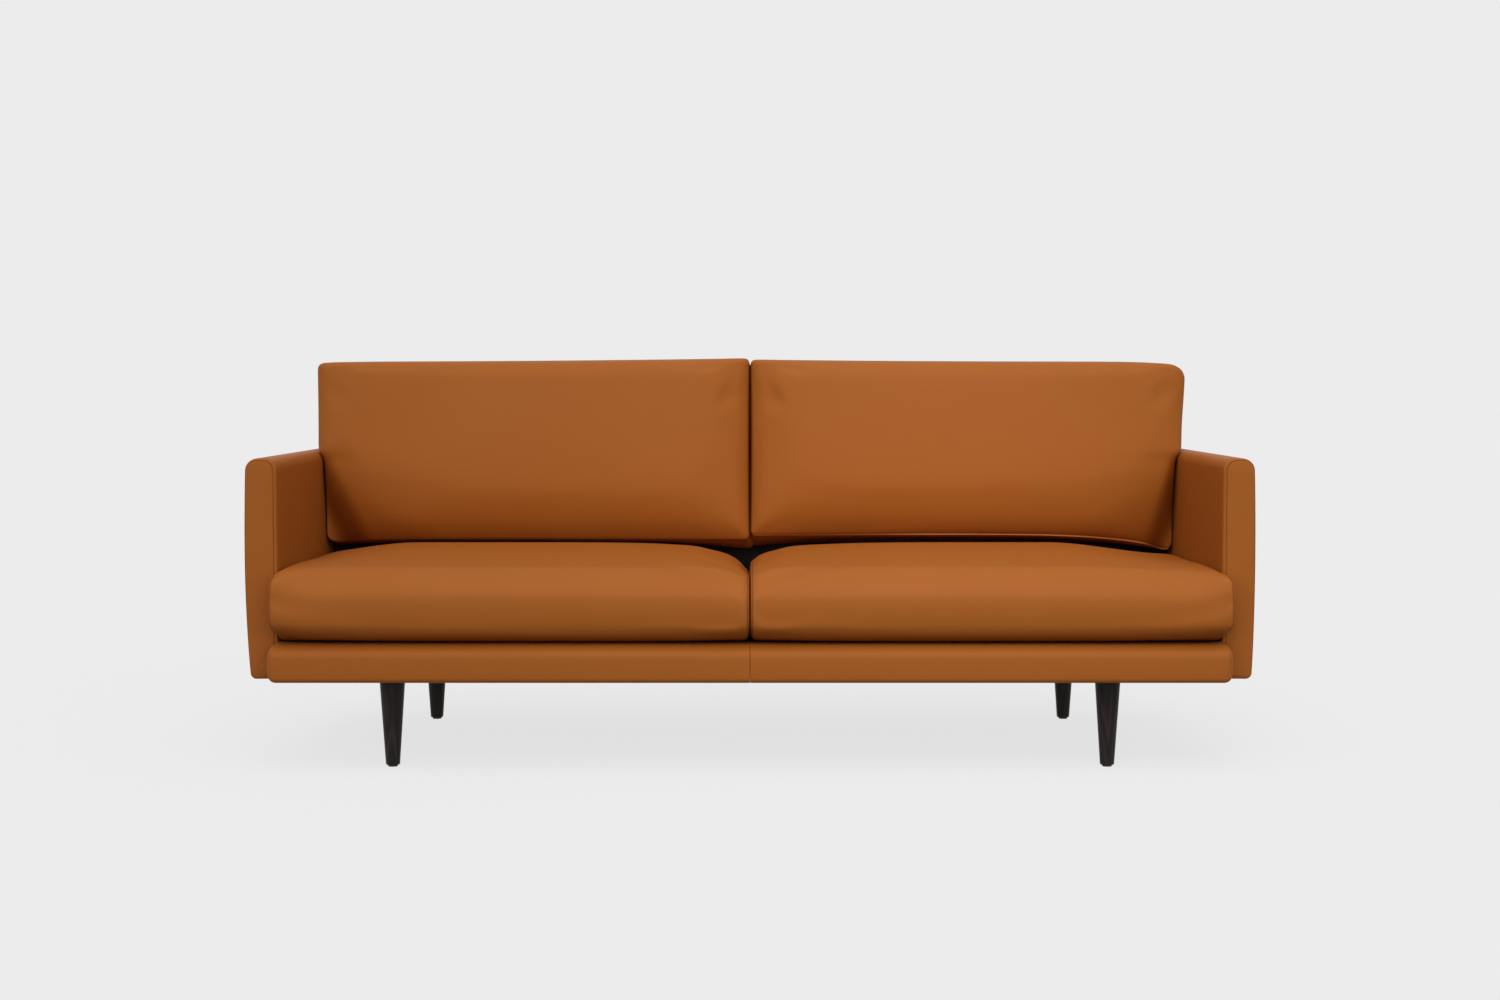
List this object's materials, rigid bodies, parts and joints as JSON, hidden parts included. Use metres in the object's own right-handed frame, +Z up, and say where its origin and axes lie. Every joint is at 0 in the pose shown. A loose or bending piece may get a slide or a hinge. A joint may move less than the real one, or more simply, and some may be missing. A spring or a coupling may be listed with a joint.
{
  "type": "sofa",
  "caption": "Cognac leather sofa with loose seat and back cushions, slim panel arms and dark turned legs",
  "frame": {"origin": "on the floor, below the middle of the sofa's box", "axes": "+X along the sofa to the right as seen from the front, +Y to the rear, +Z up"},
  "size_m": [2.08, 0.85, 0.8507],
  "materials": {
    "cognac_leather": "smooth aniline leather, low sheen",
    "leg_wood": "dark espresso stain, satin",
    "frame_wood": "sawn pine",
    "hardboard": "hardboard",
    "foam": null,
    "webbing": "elastic webbing",
    "black_cloth": "spunbonded cloth",
    "steel": "zinc plated",
    "glide_nylon": "nylon"
  },
  "bodies": {
    "sofa_frame": {"arm_bolts": "steel", "arm_plates": "steel", "back_board": "hardboard", "back_bolts": "steel", "back_bottom_rail": "frame_wood", "back_cover": "cognac_leather", "back_foam": "foam", "back_left_leg": "leg_wood", "back_outer_cover": "cognac_leather", "back_right_leg": "leg_wood", "back_top_rail": "frame_wood", "back_uprights": "frame_wood", "back_webbing": "webbing", "centre_rail": "frame_wood", "cross_webbing": "webbing", "deck_cloth": "black_cloth", "deck_felt": "foam", "dust_cover": "black_cloth", "front_foam": "foam", "front_left_leg": "leg_wood", "front_rail": "frame_wood", "front_right_leg": "leg_wood", "glides": "glide_nylon", "hanger_bolts": "steel", "left_arm_boards": "hardboard", "left_arm_cover": "cognac_leather", "left_arm_foam": "foam", "left_arm_front_facing": "cognac_leather", "left_arm_posts": "frame_wood", "left_arm_rails": "frame_wood", "left_arm_rear_facing": "cognac_leather", "left_front_cover": "cognac_leather", "left_leg_rail": "frame_wood", "left_side_rail": "frame_wood", "leg_plates": "steel", "rear_rail": "frame_wood", "right_arm_boards": "hardboard", "right_arm_cover": "cognac_leather", "right_arm_foam": "foam", "right_arm_front_facing": "cognac_leather", "right_arm_posts": "frame_wood", "right_arm_rails": "frame_wood", "right_arm_rear_facing": "cognac_leather", "right_front_cover": "cognac_leather", "right_leg_rail": "frame_wood", "right_side_rail": "frame_wood", "seat_rear_rail": "frame_wood", "seat_webbing": "webbing"},
    "left_seat_cushion": {"left_seat_cover": "cognac_leather", "left_seat_core": "foam"},
    "left_back_cushion": {"left_back_cushion_cover": "cognac_leather", "left_back_cushion_core": "foam"},
    "right_seat_cushion": {"right_seat_cover": "cognac_leather", "right_seat_core": "foam"},
    "right_back_cushion": {"right_back_cushion_cover": "cognac_leather", "right_back_cushion_core": "foam"}
  },
  "joints": [
    {"name": "left_seat_cushion_slide", "type": "slide", "parent": "sofa_frame", "child": "left_seat_cushion", "axis": [0, -1, 0], "range_m": [0, 0.72]},
    {"name": "left_back_cushion_lift", "type": "slide", "parent": "sofa_frame", "child": "left_back_cushion", "axis": [0, 0, 1], "range_m": [0, 0.42]},
    {"name": "right_seat_cushion_slide", "type": "slide", "parent": "sofa_frame", "child": "right_seat_cushion", "axis": [0, -1, 0], "range_m": [0, 0.72]},
    {"name": "right_back_cushion_lift", "type": "slide", "parent": "sofa_frame", "child": "right_back_cushion", "axis": [0, 0, 1], "range_m": [0, 0.42]}
  ]
}
